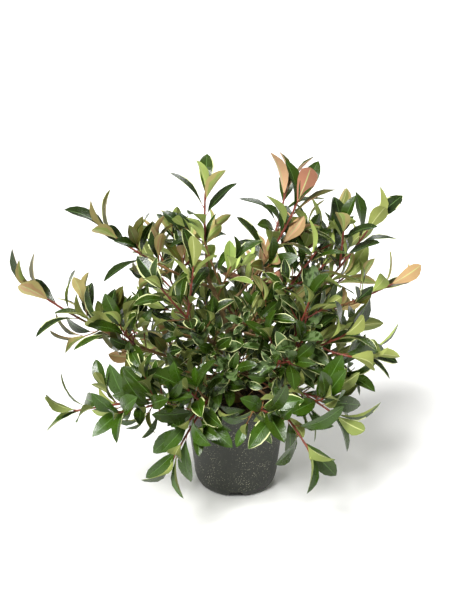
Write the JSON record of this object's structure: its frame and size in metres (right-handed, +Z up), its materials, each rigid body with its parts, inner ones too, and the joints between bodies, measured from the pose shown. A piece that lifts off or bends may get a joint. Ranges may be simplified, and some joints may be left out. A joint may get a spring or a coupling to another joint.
{
  "type": "potted red tip photinia shrub",
  "caption": "Bushy young evergreen shrub with long glossy leaves and reddish new tips, spreading from one leaning stem in a round tapered plastic nursery pot.",
  "frame": {"origin": "middle of the flat disc under the pot, on the surface that the pot stands on", "axes": "+Z up along the pot's axis; +X to the right and +Y away from the viewer, as the picture shows the plant"},
  "size_m": [0.7134, 0.5404, 0.6129],
  "materials": {
    "pot": "dull recycled plastic",
    "compost": "dark, loose and fibrous",
    "bark": "grey-brown bark, redder when young",
    "foliage": "glossy leather-like leaves",
    "foliage_marbled": "older leaves, marbled grey-green with cream edges"
  },
  "bodies": {
    "root": {"pot": "pot", "compost": "compost", "trunk": "bark", "bough_back_left": "bark", "bough_back_low_left": "bark", "bough_back_low_right": "bark", "bough_back_middle": "bark", "bough_back_right": "bark", "bough_far_left": "bark", "bough_far_right": "bark", "bough_front": "bark", "bough_front_left": "bark", "bough_front_right": "bark", "bough_leader_back": "bark", "bough_leader_left": "bark", "bough_leader_middle": "bark", "bough_leader_right": "bark", "bough_left_front": "bark", "bough_low_left": "bark", "bough_low_right": "bark", "bough_right": "bark", "bough_right_back": "bark", "bough_right_low": "bark", "bough_right_middle": "bark", "bough_right_up": "bark", "foliage_back_left": "foliage", "foliage_back_low_left": "foliage", "foliage_back_low_middle": "foliage", "foliage_back_low_right": "foliage", "foliage_back_middle": "foliage", "foliage_back_right": "foliage", "foliage_droop_left": "foliage", "foliage_far_left": "foliage", "foliage_far_right": "foliage", "foliage_front": "foliage", "foliage_front_left": "foliage", "foliage_front_right": "foliage", "foliage_inner_front": "foliage_marbled", "foliage_inner_left": "foliage_marbled", "foliage_inner_low": "foliage_marbled", "foliage_inner_right": "foliage_marbled", "foliage_inner_top": "foliage_marbled", "foliage_leader_back": "foliage", "foliage_leader_left": "foliage", "foliage_leader_middle": "foliage", "foliage_leader_right": "foliage", "foliage_left_front": "foliage", "foliage_left_inner": "foliage", "foliage_left_middle": "foliage", "foliage_low_left": "foliage", "foliage_low_left_inner": "foliage", "foliage_low_right": "foliage", "foliage_right": "foliage", "foliage_right_back": "foliage", "foliage_right_front": "foliage", "foliage_right_inner": "foliage", "foliage_right_low": "foliage", "foliage_right_middle": "foliage", "foliage_right_up": "foliage"}
  },
  "joints": []
}
